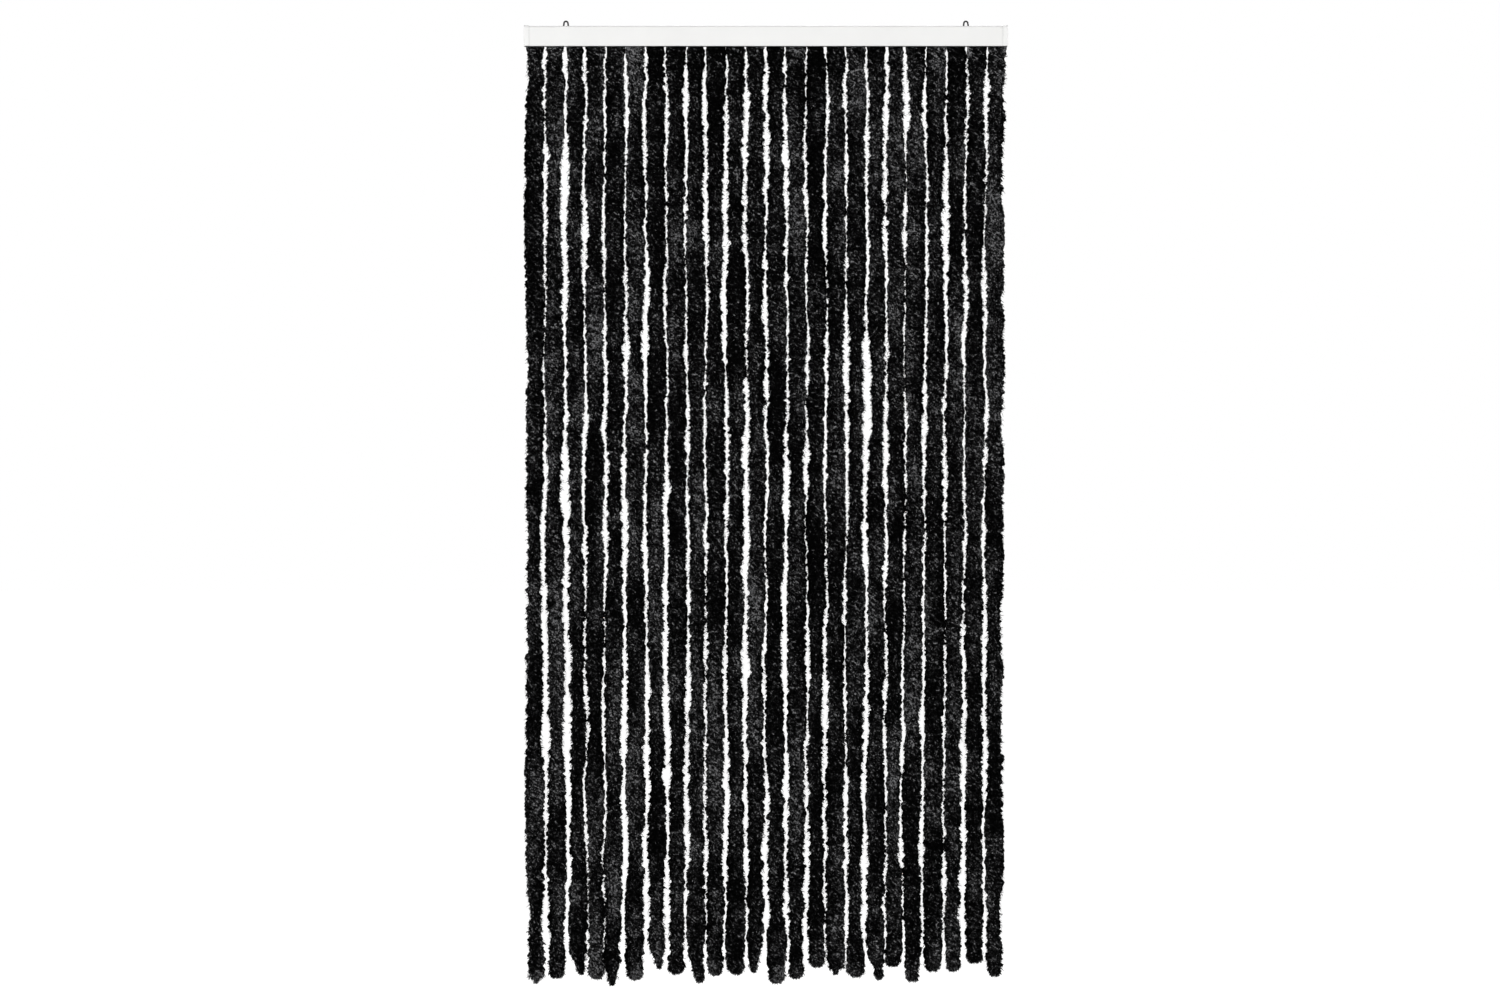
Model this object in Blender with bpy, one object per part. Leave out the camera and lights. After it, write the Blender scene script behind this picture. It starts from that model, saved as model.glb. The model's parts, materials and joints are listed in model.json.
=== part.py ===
"""Chenille fly curtain: a rail with end caps, two wire hangers, a hook strip and 24 hanging chenille strands.

All lengths are in metres. X runs along the rail, the front faces -Y, and Z points up. The origin lies midway
between the two hangers, level with the underside of their loops, where the curtain hangs.
"""

import math

import bmesh
import bpy
from mathutils import Vector

# Driving dimensions of the rail
OVERALL_WIDTH = 1.000
RAIL_HEIGHT = 0.0415
RAIL_DEPTH = 0.022
RAIL_WALL = 0.0016
RAIL_TOP_RADIUS = 0.0035
RAIL_EDGE_RADIUS = 0.0007
RIB_REACH = 0.0034
RIB_THICKNESS = 0.0014
LEDGE_HEIGHT = 0.009

# Clearances
FIT_GAP = 0.0003
STRIP_END_GAP = 0.001
OVERRUN = 0.005

# End caps
CAP_WIDTH = 0.010
CAP_END_WALL = 0.002
CAP_SLEEVE_WALL = 0.0012
CAP_EDGE_ROUND = 0.0006
TONGUE_LENGTH = 0.012
TONGUE_WALL = 0.0014

# Wire hangers
HANGER_FROM_END = 0.0865
HANGER_WIRE = 0.0023
HANGER_WIDTH = 0.0125
HANGER_HEIGHT = 0.0122
HANGER_BEND = 0.0022
HANGER_FOOT = 0.0055

# Hook strip
FLANGE_THICKNESS = 0.0018
WEB_DROP = 0.0012
HOOK_SECTION = 0.0026
HOOK_OPENING = 0.005
HOOK_TIP = 0.003
HOOK_ROUND = 0.001

# Strands
CURTAIN_DROP = 1.980
PILE_RADIUS = 0.0165
STRAND_SPACE = 0.0085
ROW_END_ROOM = 0.006
PIVOT_DROP = 0.004
CROWN_RADIUS = 0.0045
FLARE_ANGLE = math.radians(24)
LOOP_CORD = 0.0022
NOTCH_DEPTH = 0.003
NOTCH_GAP = 0.0006
RING_STEP_DIAMETERS = 4.0
LOWER_WIDTH_SHARE = 0.93
LOWER_FROM_SHARE = 0.72
ROUND_END = 0.026
POINTED_END = 0.055

# Closed lower ends, as shares of the end's length above the tip and of the pile's radius there
ROUND_END_SHARES = ((1.0, 0.98), (0.4, 0.84), (0.0, 0.34))
NUB_END_SHARES = ((1.0, 0.97), (0.45, 0.80), (0.22, 0.20), (0.0, 0.15))
POINTED_END_SHARES = ((1.0, 0.92), (0.45, 0.62), (0.0, 0.16))
ENDS = {
    "round": (ROUND_END, ROUND_END_SHARES),
    "nub": (ROUND_END, NUB_END_SHARES),
    "pointed": (POINTED_END, POINTED_END_SHARES),
}

# Each strand's route, left to right: how far short of the curtain's drop it ends, the form of its lower end,
# and how far it has wandered sideways at the heights of ROUTE_SHARES, which are shares of its length
ROUTE_SHARES = (0.0, 0.04, 0.18, 0.34, 0.50, 0.66, 0.82, 0.97)
ROUTES = (
    (0.004, "nub", (-0.003, 0.002, -0.002, -0.002, -0.001, 0.002)),
    (0.015, "round", (-0.002, -0.003, -0.002, 0.002, 0.002, 0.005)),
    (0.023, "pointed", (0.000, 0.001, 0.001, 0.005, 0.006, 0.008)),
    (0.013, "round", (-0.001, -0.001, -0.001, 0.000, 0.000, 0.001)),
    (0.000, "pointed", (-0.001, 0.000, -0.001, -0.005, -0.005, -0.007)),
    (0.011, "round", (0.000, 0.000, 0.000, 0.000, 0.000, -0.002)),
    (0.035, "pointed", (0.001, 0.004, -0.001, 0.001, 0.002, 0.003)),
    (0.023, "nub", (0.000, 0.001, 0.003, 0.003, 0.003, 0.002)),
    (0.006, "pointed", (-0.002, 0.003, 0.002, 0.003, 0.001, 0.002)),
    (0.021, "nub", (-0.001, -0.002, 0.001, 0.000, -0.002, -0.002)),
    (0.022, "round", (0.000, 0.001, 0.000, -0.002, 0.001, 0.000)),
    (0.027, "pointed", (-0.001, 0.001, 0.004, 0.000, -0.001, -0.003)),
    (0.004, "nub", (0.000, 0.003, -0.002, -0.004, 0.000, 0.002)),
    (0.014, "round", (0.001, 0.002, 0.002, 0.002, 0.000, 0.001)),
    (0.037, "round", (-0.001, 0.002, 0.000, 0.000, -0.002, 0.002)),
    (0.023, "nub", (0.001, -0.001, -0.001, -0.001, -0.002, -0.002)),
    (0.017, "round", (0.000, 0.000, -0.002, -0.002, -0.003, -0.002)),
    (0.012, "nub", (0.000, 0.004, -0.001, 0.001, -0.002, 0.002)),
    (0.039, "round", (-0.001, -0.001, 0.000, -0.003, -0.007, -0.006)),
    (0.008, "nub", (-0.001, -0.005, -0.004, -0.008, -0.010, -0.009)),
    (0.029, "round", (-0.003, -0.002, -0.005, -0.004, -0.007, -0.007)),
    (0.029, "round", (0.000, -0.003, -0.004, -0.006, -0.008, -0.009)),
    (0.046, "round", (-0.002, -0.003, -0.005, -0.006, -0.005, -0.005)),
    (0.019, "round", (-0.004, -0.003, -0.005, -0.005, -0.005, -0.006)),
)

# Faces on round shapes
ARC_STEPS = 4
SMALL_ARC_STEPS = 2
STRAND_SIDES = 8
HOLE_SIDES = 16
LOOP_STEPS = 8
CROWN_STEPS = 2
BEND_STEPS = 4
CROWN_TOP_ANGLE = math.radians(72)
SMOOTH_ANGLE = math.radians(35)

# Places worked out from the sizes above
RAIL_TOP_Z = HANGER_WIRE - HANGER_HEIGHT
RAIL_BOTTOM_Z = RAIL_TOP_Z - RAIL_HEIGHT
RAIL_LENGTH = OVERALL_WIDTH - 2 * (CAP_END_WALL + FIT_GAP)
PIVOT_Z = RAIL_BOTTOM_Z - PIVOT_DROP
GROOVE_HEIGHT = FLANGE_THICKNESS + 2 * FIT_GAP
FLANGE_UNDERSIDE_Z = RAIL_BOTTOM_Z + LEDGE_HEIGHT + FIT_GAP
HALF_DEPTH = RAIL_DEPTH / 2
HALF_CHANNEL = HALF_DEPTH - RAIL_WALL
STRAND_PITCH = 2 * PILE_RADIUS + STRAND_SPACE
STRAND_COUNT = int((OVERALL_WIDTH - 2 * (ROW_END_ROOM + PILE_RADIUS)) / STRAND_PITCH) + 1


def clear_scene():
    for obj in list(bpy.data.objects):
        bpy.data.objects.remove(obj, do_unlink=True)


def material(name, colour, roughness, metallic=0.0):
    made = bpy.data.materials.new(name)
    made.use_nodes = True
    shader = made.node_tree.nodes["Principled BSDF"]
    shader.inputs["Base Color"].default_value = (*colour, 1.0)
    shader.inputs["Roughness"].default_value = roughness
    shader.inputs["Metallic"].default_value = metallic
    return made


def add_object(name, data, finish=None, place=(0.0, 0.0, 0.0), helper=False):
    obj = bpy.data.objects.new(name, data)
    obj.location = place
    bpy.context.scene.collection.objects.link(obj)
    if finish is not None:
        data.materials.append(finish)
    if helper:
        obj.hide_render = True
        obj.display_type = "WIRE"
    return obj


def mesh_from(name, bm):
    """A smooth-shaded mesh of a bmesh, with its faces pointing out."""
    bmesh.ops.recalc_face_normals(bm, faces=bm.faces)
    mesh = bpy.data.meshes.new(name)
    bm.to_mesh(mesh)
    bm.free()
    mesh.shade_smooth()
    mesh.set_sharp_from_angle(angle=SMOOTH_ANGLE)
    return mesh


def rounded(corners, steps):
    """The outline through corners given as (a, b, radius), each replaced by an arc of its radius."""
    outline = []
    for i, (a, b, radius) in enumerate(corners):
        corner = Vector((a, b))
        if radius == 0:
            outline.append(corner)
            continue
        before = (Vector(corners[i - 1][:2]) - corner).normalized()
        after = (Vector(corners[(i + 1) % len(corners)][:2]) - corner).normalized()
        half_angle = before.angle(after) / 2
        centre = corner + (before + after).normalized() * radius / math.sin(half_angle)
        start = corner + before * radius / math.tan(half_angle) - centre
        end = corner + after * radius / math.tan(half_angle) - centre
        sweep = start.angle_signed(end)
        for step in range(steps + 1):
            turn = -sweep * step / steps
            outline.append(centre + Vector((
                start.x * math.cos(turn) - start.y * math.sin(turn),
                start.x * math.sin(turn) + start.y * math.cos(turn),
            )))
    return outline


def extruded(name, outline, start, end, to_point):
    """The mesh of an outline drawn at start and extruded to end; to_point(a, b, along) places a point."""
    bm = bmesh.new()
    first = [bm.verts.new(to_point(p.x, p.y, start)) for p in outline]
    face = bm.faces.new(first)
    grown = bmesh.ops.extrude_face_region(bm, geom=[face])
    moved = [v for v in grown["geom"] if isinstance(v, bmesh.types.BMVert)]
    offset = Vector(to_point(0, 0, end)) - Vector(to_point(0, 0, start))
    bmesh.ops.translate(bm, verts=moved, vec=offset)
    return mesh_from(name, bm)


def along_x(a, b, along):
    return (along, a, b)


def along_y(a, b, along):
    return (a, along, b)


def block(name, low, high):
    """A box-shaped mesh between two corners."""
    bm = bmesh.new()
    bmesh.ops.create_cube(bm, size=1)
    low, high = Vector(low), Vector(high)
    bmesh.ops.scale(bm, vec=high - low, verts=bm.verts)
    bmesh.ops.translate(bm, vec=(low + high) / 2, verts=bm.verts)
    return mesh_from(name, bm)


def combine(target, operation, tool):
    modifier = target.modifiers.new(tool.name, "BOOLEAN")
    modifier.operation = operation
    modifier.object = tool


def tube(name, points, diameter, closed=False, resolution=2):
    """A round wire or cord along these points, as a curve with a bevel and filled ends."""
    curve = bpy.data.curves.new(name, "CURVE")
    curve.dimensions = "3D"
    curve.bevel_depth = diameter / 2
    curve.bevel_resolution = resolution
    curve.use_fill_caps = not closed
    spline = curve.splines.new("POLY")
    spline.points.add(len(points) - 1)
    for point, place in zip(spline.points, points):
        point.co = (*place, 1.0)
    spline.use_cyclic_u = closed
    return curve


def evaluated_mesh(obj, name):
    """The object's final mesh, with its curve bevel or modifiers in it."""
    graph = bpy.context.evaluated_depsgraph_get()
    mesh = bpy.data.meshes.new_from_object(obj.evaluated_get(graph), depsgraph=graph)
    mesh.name = name
    return mesh


def arc(centre_a, centre_b, radius, from_angle, to_angle, steps):
    """Points (a, b) on an arc about a centre."""
    angles = [from_angle + (to_angle - from_angle) * i / steps for i in range(steps + 1)]
    return [(centre_a + radius * math.cos(t), centre_b + radius * math.sin(t)) for t in angles]


# Rail


def rail_corners():
    """The channel's section as (y, z, radius), open below; two pairs of ribs hold the hook strip."""
    rib_edge = HALF_CHANNEL - RIB_REACH
    ledge = RAIL_BOTTOM_Z + LEDGE_HEIGHT
    groove_top = ledge + GROOVE_HEIGHT
    side = [
        (HALF_DEPTH, RAIL_TOP_Z, RAIL_TOP_RADIUS),
        (HALF_DEPTH, RAIL_BOTTOM_Z, RAIL_EDGE_RADIUS),
        (HALF_CHANNEL, RAIL_BOTTOM_Z, RAIL_EDGE_RADIUS),
        (HALF_CHANNEL, ledge - RIB_THICKNESS, 0),
        (rib_edge, ledge - RIB_THICKNESS, 0),
        (rib_edge, ledge, 0),
        (HALF_CHANNEL, ledge, 0),
        (HALF_CHANNEL, groove_top, 0),
        (rib_edge, groove_top, 0),
        (rib_edge, groove_top + RIB_THICKNESS, 0),
        (HALF_CHANNEL, groove_top + RIB_THICKNESS, 0),
        (HALF_CHANNEL, RAIL_TOP_Z - RAIL_WALL, RAIL_TOP_RADIUS - RAIL_WALL),
    ]
    return side + [(-y, z, radius) for y, z, radius in reversed(side)]


def hanger_places():
    place = OVERALL_WIDTH / 2 - HANGER_FROM_END
    return {"left": -place, "right": place}


def leg_offset():
    return (HANGER_WIDTH - HANGER_WIRE) / 2


def make_rail(finish):
    outline = rounded(rail_corners(), ARC_STEPS)
    mesh = extruded("rail", outline, -RAIL_LENGTH / 2, RAIL_LENGTH / 2, along_x)
    rail = add_object("rail", mesh, finish)
    for side, place in hanger_places().items():
        for leg, offset in (("a", -leg_offset()), ("b", leg_offset())):
            bm = bmesh.new()
            radius = HANGER_WIRE / 2 + FIT_GAP
            depth = RAIL_WALL + 2 * OVERRUN
            bmesh.ops.create_cone(
                bm, cap_ends=True, segments=HOLE_SIDES, radius1=radius, radius2=radius, depth=depth
            )
            name = f"leg_hole_{side}_{leg}"
            centre = (place + offset, 0.0, RAIL_TOP_Z - RAIL_WALL / 2)
            combine(rail, "DIFFERENCE", add_object(name, mesh_from(name, bm), None, centre, helper=True))


# End caps


def cap_section(half_depth, top, bottom, radius):
    corners = [
        (half_depth, top, radius),
        (half_depth, bottom, 0),
        (-half_depth, bottom, 0),
        (-half_depth, top, radius),
    ]
    return rounded(corners, ARC_STEPS)


def make_end_cap(side, direction, finish):
    """A cap with a sleeve over the rail's end, open below, and a hollow tongue in the rail's upper part."""
    name = f"end_cap_{side}"
    outside = FIT_GAP + CAP_SLEEVE_WALL
    end = direction * OVERALL_WIDTH / 2
    wall_inside = end - direction * CAP_END_WALL
    mouth = end - direction * CAP_WIDTH
    tongue_end = wall_inside - direction * TONGUE_LENGTH

    outline = cap_section(
        HALF_DEPTH + outside, RAIL_TOP_Z + outside, RAIL_BOTTOM_Z, RAIL_TOP_RADIUS + outside
    )
    cap = add_object(name, extruded(name, outline, end, mouth, along_x), finish)
    edge_round = cap.modifiers.new("edge_round", "BEVEL")
    edge_round.width = CAP_EDGE_ROUND
    edge_round.segments = 2
    edge_round.limit_method = "ANGLE"

    room = cap_section(
        HALF_DEPTH + FIT_GAP, RAIL_TOP_Z + FIT_GAP, RAIL_BOTTOM_Z - OVERRUN, RAIL_TOP_RADIUS + FIT_GAP
    )
    hollow = extruded(name + "_room", room, wall_inside, mouth - direction * OVERRUN, along_x)
    combine(cap, "DIFFERENCE", add_object(name + "_room", hollow, helper=True))

    upper_ribs = RAIL_BOTTOM_Z + LEDGE_HEIGHT + GROOVE_HEIGHT + RIB_THICKNESS
    inner_radius = RAIL_TOP_RADIUS - RAIL_WALL
    tongue = cap_section(
        HALF_CHANNEL - FIT_GAP, RAIL_TOP_Z - RAIL_WALL - FIT_GAP, upper_ribs + FIT_GAP, inner_radius
    )
    tongue_mesh = extruded(name + "_tongue", tongue, end - direction * CAP_END_WALL / 2, tongue_end, along_x)
    combine(cap, "UNION", add_object(name + "_tongue", tongue_mesh, helper=True))

    wall = FIT_GAP + TONGUE_WALL
    hollow = cap_section(
        HALF_CHANNEL - wall, RAIL_TOP_Z - RAIL_WALL - wall, upper_ribs + wall, inner_radius / 2
    )
    hollow_mesh = extruded(
        name + "_tongue_room", hollow, wall_inside, tongue_end - direction * OVERRUN, along_x
    )
    combine(cap, "DIFFERENCE", add_object(name + "_tongue_room", hollow_mesh, helper=True))


# Wire hangers


def make_hanger(side, place, finish):
    """A wire loop that stands on the rail; its legs pass the rail's top and turn outwards under it."""
    leg = leg_offset()
    spring_line = HANGER_WIRE / 2 - leg
    foot_z = RAIL_TOP_Z - RAIL_WALL - FIT_GAP - HANGER_WIRE / 2
    bend_centre = leg + HANGER_BEND
    quarter = math.pi / 2
    right_half = [(bend_centre + HANGER_FOOT, foot_z)]
    right_half += arc(bend_centre, foot_z + HANGER_BEND, HANGER_BEND, -quarter, -2 * quarter, BEND_STEPS)
    crown = arc(0, spring_line, leg, 0, math.pi, 2 * BEND_STEPS)
    left_half = [(-x, z) for x, z in reversed(right_half)]
    points = [(x, 0.0, z) for x, z in right_half + crown + left_half]
    name = f"hanger_{side}"
    add_object(name, tube(name, points, HANGER_WIRE), finish, (place, 0.0, 0.0))


# Hook strip


def hook_places():
    half_row = STRAND_PITCH * (STRAND_COUNT - 1) / 2
    return [STRAND_PITCH * i - half_row for i in range(STRAND_COUNT)]


def hook_corners(place):
    """One hook's edge from left to right as (x, z, radius): shank, bar under the loop, and upturned tip."""
    inner = HOOK_OPENING / 2
    outer = inner + HOOK_SECTION
    bar_top = PIVOT_Z + HOOK_SECTION / 2
    bar_bottom = PIVOT_Z - HOOK_SECTION / 2
    tip = bar_top + HOOK_TIP
    web = FLANGE_UNDERSIDE_Z - WEB_DROP
    return [
        (place - outer, web, 0),
        (place - outer, bar_bottom, HOOK_ROUND),
        (place + outer, bar_bottom, HOOK_ROUND),
        (place + outer, tip, HOOK_ROUND),
        (place + inner, tip, HOOK_ROUND),
        (place + inner, bar_top, 0),
        (place - inner, bar_top, 0),
        (place - inner, web, 0),
    ]


def make_hook_strip(finish):
    """A flange that slides in the rail's groove, and below it a web that carries one hook for each strand."""
    half_length = RAIL_LENGTH / 2 - STRIP_END_GAP
    half_flange = HALF_CHANNEL - FIT_GAP
    low = (-half_length, -half_flange, FLANGE_UNDERSIDE_Z)
    high = (half_length, half_flange, FLANGE_UNDERSIDE_Z + FLANGE_THICKNESS)
    strip = add_object("hook_strip", block("hook_strip", low, high), finish)

    inside_flange = FLANGE_UNDERSIDE_Z + FLANGE_THICKNESS / 2
    web = FLANGE_UNDERSIDE_Z - WEB_DROP
    web_end = half_length - STRIP_END_GAP
    corners = [(-web_end, inside_flange, 0), (-web_end, web, 0)]
    for place in hook_places():
        corners += hook_corners(place)
    corners += [(web_end, web, 0), (web_end, inside_flange, 0)]
    outline = rounded(corners, SMALL_ARC_STEPS)
    comb = extruded("hook_comb", outline, -HOOK_SECTION / 2, HOOK_SECTION / 2, along_y)
    combine(strip, "UNION", add_object("hook_comb", comb, helper=True))


# Strands


def smooth_value(stations, values, at):
    """A smooth curve through values at stations: a cubic between each two, with the mean slope at both."""
    last = len(stations) - 1
    if at >= stations[last]:
        return values[last]
    i = max(k for k in range(last) if stations[k] <= at)

    def slope(k):
        before, after = max(k - 1, 0), min(k + 1, last)
        return (values[after] - values[before]) / (stations[after] - stations[before])

    span = stations[i + 1] - stations[i]
    t = (at - stations[i]) / span
    held = (2 * t**3 - 3 * t**2 + 1) * values[i] + (3 * t**2 - 2 * t**3) * values[i + 1]
    return held + span * ((t**3 - 2 * t**2 + t) * slope(i) + (t**3 - t**2) * slope(i + 1))


def lower_share(share):
    """The pile's width at a share of the length: full at first, and a little less on the lower stretch."""
    t = min(max((share - LOWER_FROM_SHARE) / (1 - LOWER_FROM_SHARE), 0), 1)
    return 1 - (1 - LOWER_WIDTH_SHARE) * (3 * t**2 - 2 * t**3)


def head_sections():
    """The strand's top as (depth, half width, half depth): a crown round the hook's bar, then a flare."""
    sections = []
    for step in range(CROWN_STEPS + 1):
        angle = CROWN_TOP_ANGLE - (CROWN_TOP_ANGLE + FLARE_ANGLE) * step / CROWN_STEPS
        sections.append((-CROWN_RADIUS * math.sin(angle), PILE_RADIUS, CROWN_RADIUS * math.cos(angle)))
    depth, _, half = sections[-1]
    flare_end = depth + (PILE_RADIUS - half) / math.tan(FLARE_ANGLE)
    sections.append((flare_end, PILE_RADIUS, PILE_RADIUS))
    return sections


def strand_sections(shortfall, end_form, wander):
    """The whole strand as (depth under the pivot, sideways place, half width, half depth), top to bottom."""
    length = CURTAIN_DROP - shortfall - RAIL_HEIGHT - PIVOT_DROP
    sideways = (0.0, 0.0, *wander)
    end_length, end_shares = ENDS[end_form]
    head = head_sections()
    straight = length - end_length - head[-1][0]
    rings = round(straight / (RING_STEP_DIAMETERS * 2 * PILE_RADIUS))
    sections = [(depth, 0.0, half_width, half_depth) for depth, half_width, half_depth in head]
    for i in range(1, rings):
        depth = head[-1][0] + straight * i / rings
        half = PILE_RADIUS * lower_share(depth / length)
        sections.append((depth, smooth_value(ROUTE_SHARES, sideways, depth / length), half, half))
    for up_share, width_share in end_shares:
        depth = length - end_length * up_share
        half = PILE_RADIUS * LOWER_WIDTH_SHARE * width_share
        sections.append((depth, smooth_value(ROUTE_SHARES, sideways, depth / length), half, half))
    return sections


def lofted(name, sections):
    """A closed mesh through oval rings, one for each section, bridged from top to bottom."""
    bm = bmesh.new()
    below = None
    for depth, sideways, half_width, half_depth in sections:
        ring = []
        for k in range(STRAND_SIDES):
            angle = 2 * math.pi * k / STRAND_SIDES
            x = sideways + half_width * math.cos(angle)
            ring.append(bm.verts.new((x, half_depth * math.sin(angle), -depth)))
        if below is None:
            bm.faces.new(ring)
        else:
            for k in range(STRAND_SIDES):
                after = (k + 1) % STRAND_SIDES
                bm.faces.new((below[k], below[after], ring[after], ring[k]))
        below = ring
    bm.faces.new(below)
    return mesh_from(name, bm)


def make_head_tools():
    """The notch that frees the hook in a strand's crown, and the core cord's loop round the hook's bar."""
    half_notch = HOOK_OPENING / 2 + HOOK_SECTION + NOTCH_GAP
    low = (-half_notch, -PILE_RADIUS, -NOTCH_DEPTH)
    high = (half_notch, PILE_RADIUS, CROWN_RADIUS + OVERRUN)
    notch = add_object("hook_notch", block("hook_notch", low, high), helper=True)

    ring = arc(0, 0, CROWN_RADIUS - LOOP_CORD / 2, 0, 2 * math.pi, LOOP_STEPS)[:-1]
    curve = tube("core_loop_curve", [(0.0, y, z) for y, z in ring], LOOP_CORD, closed=True, resolution=1)
    bent = add_object("core_loop_curve", curve, helper=True)
    loop = add_object("core_loop", evaluated_mesh(bent, "core_loop"), helper=True)
    return notch, loop


def make_strand(number, place, route, tools, finish):
    """A strand with its origin on its hinge line, the hook's bar, from which it hangs."""
    name = f"strand_{number:02d}"
    notch, loop = tools
    strand = add_object(name, lofted(name, strand_sections(*route)), finish)
    combine(strand, "DIFFERENCE", notch)
    combine(strand, "UNION", loop)
    mesh = evaluated_mesh(strand, name)
    strand.modifiers.clear()
    strand.data = mesh
    mesh.shade_smooth()
    mesh.set_sharp_from_angle(angle=SMOOTH_ANGLE)
    strand.location = (place, 0.0, PIVOT_Z)


def main():
    clear_scene()
    rail_plastic = material("rail_plastic", (0.86, 0.86, 0.84), 0.42)
    cap_plastic = material("cap_plastic", (0.90, 0.90, 0.89), 0.38)
    strip_plastic = material("strip_plastic", (0.80, 0.80, 0.78), 0.50)
    hanger_steel = material("hanger_steel", (0.10, 0.10, 0.11), 0.40, metallic=1.0)
    chenille = material("chenille", (0.012, 0.012, 0.013), 0.90)

    make_rail(rail_plastic)
    make_end_cap("left", -1, cap_plastic)
    make_end_cap("right", 1, cap_plastic)
    for side, place in hanger_places().items():
        make_hanger(side, place, hanger_steel)
    make_hook_strip(strip_plastic)
    tools = make_head_tools()
    for i, place in enumerate(hook_places()):
        make_strand(i + 1, place, ROUTES[i % len(ROUTES)], tools, chenille)


main()
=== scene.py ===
"""The looks of a chenille fly curtain: a pale rail with caps, dark hangers and 24 black strands.

All lengths are in metres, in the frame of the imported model: X along the rail, the front towards -Y,
Z up. A place on a strand is a depth under its pivot and a turn around it: 0 is its right side, 0.25
its back, 0.5 its left side and 0.75 its front. A share along a strand is a depth over its length.
"""

import json
import math

import bpy
import numpy as np
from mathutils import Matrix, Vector


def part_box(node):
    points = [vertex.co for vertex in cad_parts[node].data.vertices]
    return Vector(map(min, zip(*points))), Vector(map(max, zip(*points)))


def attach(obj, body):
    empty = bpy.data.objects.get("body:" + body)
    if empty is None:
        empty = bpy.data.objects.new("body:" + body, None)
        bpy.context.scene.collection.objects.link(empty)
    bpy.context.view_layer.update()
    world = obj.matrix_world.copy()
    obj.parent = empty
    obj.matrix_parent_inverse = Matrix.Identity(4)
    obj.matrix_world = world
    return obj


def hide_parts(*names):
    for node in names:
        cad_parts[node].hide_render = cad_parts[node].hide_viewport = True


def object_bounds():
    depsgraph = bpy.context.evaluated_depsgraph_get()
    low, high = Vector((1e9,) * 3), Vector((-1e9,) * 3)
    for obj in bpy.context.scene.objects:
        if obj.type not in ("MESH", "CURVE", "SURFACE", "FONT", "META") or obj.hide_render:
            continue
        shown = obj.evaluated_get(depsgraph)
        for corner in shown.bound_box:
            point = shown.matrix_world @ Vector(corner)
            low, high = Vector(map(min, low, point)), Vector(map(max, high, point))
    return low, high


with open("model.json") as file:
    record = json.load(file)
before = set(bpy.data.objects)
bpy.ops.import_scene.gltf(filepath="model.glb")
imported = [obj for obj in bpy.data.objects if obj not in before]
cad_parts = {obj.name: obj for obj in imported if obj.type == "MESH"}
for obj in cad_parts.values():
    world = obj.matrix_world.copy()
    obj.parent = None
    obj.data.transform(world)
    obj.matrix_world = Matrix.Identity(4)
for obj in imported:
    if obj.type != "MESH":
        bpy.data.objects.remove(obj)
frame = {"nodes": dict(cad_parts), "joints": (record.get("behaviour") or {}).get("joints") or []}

cad_low, cad_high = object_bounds()

# Less than any length or share here, to keep a division from 0 and a rounding from the wrong side
TINY = 1e-9

# The photo's frame: the width of a pixel on the object, the place (x, z) in the photo's middle, and
# the camera, which sees from a hundredth of its distance to 20 times it
PHOTO_WIDTH_PIXELS = 1500
METRES_PER_PIXEL = 0.0020684
PHOTO_MIDDLE = (-0.0329, -0.98945)
LENS_MM = 90.0
SENSOR_MM = 36.0
CLIP_NEARER = 100
CLIP_FARTHER = 20

# The rail's top edge and cap joints, as in the CAD model, and the caps' painted shadow on the rail
RAIL_TOP_Z = -0.0099
JOINT_SIDE = 0.490
JOINT_SHADOW_LENGTH = 0.004
JOINT_SHADOW_GREY = 0.89

# A strand's sizes: the pile, the crown round the hook's bar and the flare between them, and how
# much wider the pile stands under the rail, as two shares that fade over their lengths
PILE_RADIUS = 0.0165
CROWN_RADIUS = 0.0045
FLARE_ANGLE = math.radians(24)
HEAD_SPREAD = (0.17, 0.07)
HEAD_SPREAD_LENGTH = (0.024, 0.16)

# The head, where the pile lies calmer: its length, how much calmer and fuller it is sideways, and
# how full it is to the front and back
HEAD_LENGTH = 0.034
HEAD_CALM = 0.6
HEAD_SWELL = 0.04
HEAD_DEPTH_SHARE = 0.97

# The lower ends: each form's length, and the pile's radius as shares at shares of that length above
# the tip. An end also shifts sideways over a length of its own, and its waves calm over another.
END_FORMS = {
    "round": (0.020, ((0.0, 0.42), (0.12, 0.70), (0.35, 0.90), (0.70, 0.99), (1.0, 1.0))),
    "blunt": (0.030, ((0.0, 0.50), (0.10, 0.66), (0.40, 0.80), (1.0, 1.0))),
    "nub": (0.026, ((0.0, 0.15), (0.26, 0.22), (0.32, 0.62), (0.50, 0.90), (1.0, 1.0))),
    "finger": (0.050, ((0.0, 0.26), (0.10, 0.42), (0.36, 0.52), (0.54, 0.66), (0.62, 0.95),
                       (1.0, 1.0))),
    "wide": (0.130, ((0.0, 0.48), (0.03, 0.70), (0.12, 0.98), (0.30, 1.12), (0.70, 1.10),
                     (1.0, 1.0))),
    "pointed": (0.055, ((0.0, 0.14), (0.25, 0.42), (0.60, 0.76), (1.0, 1.0))),
    "slanted": (0.045, ((0.0, 0.34), (0.15, 0.52), (0.55, 0.80), (1.0, 1.0))),
}
END_SHIFT_LENGTH = 0.050
END_CALM_LENGTH = 0.060
END_CALM_SHARE = 0.75

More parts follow.
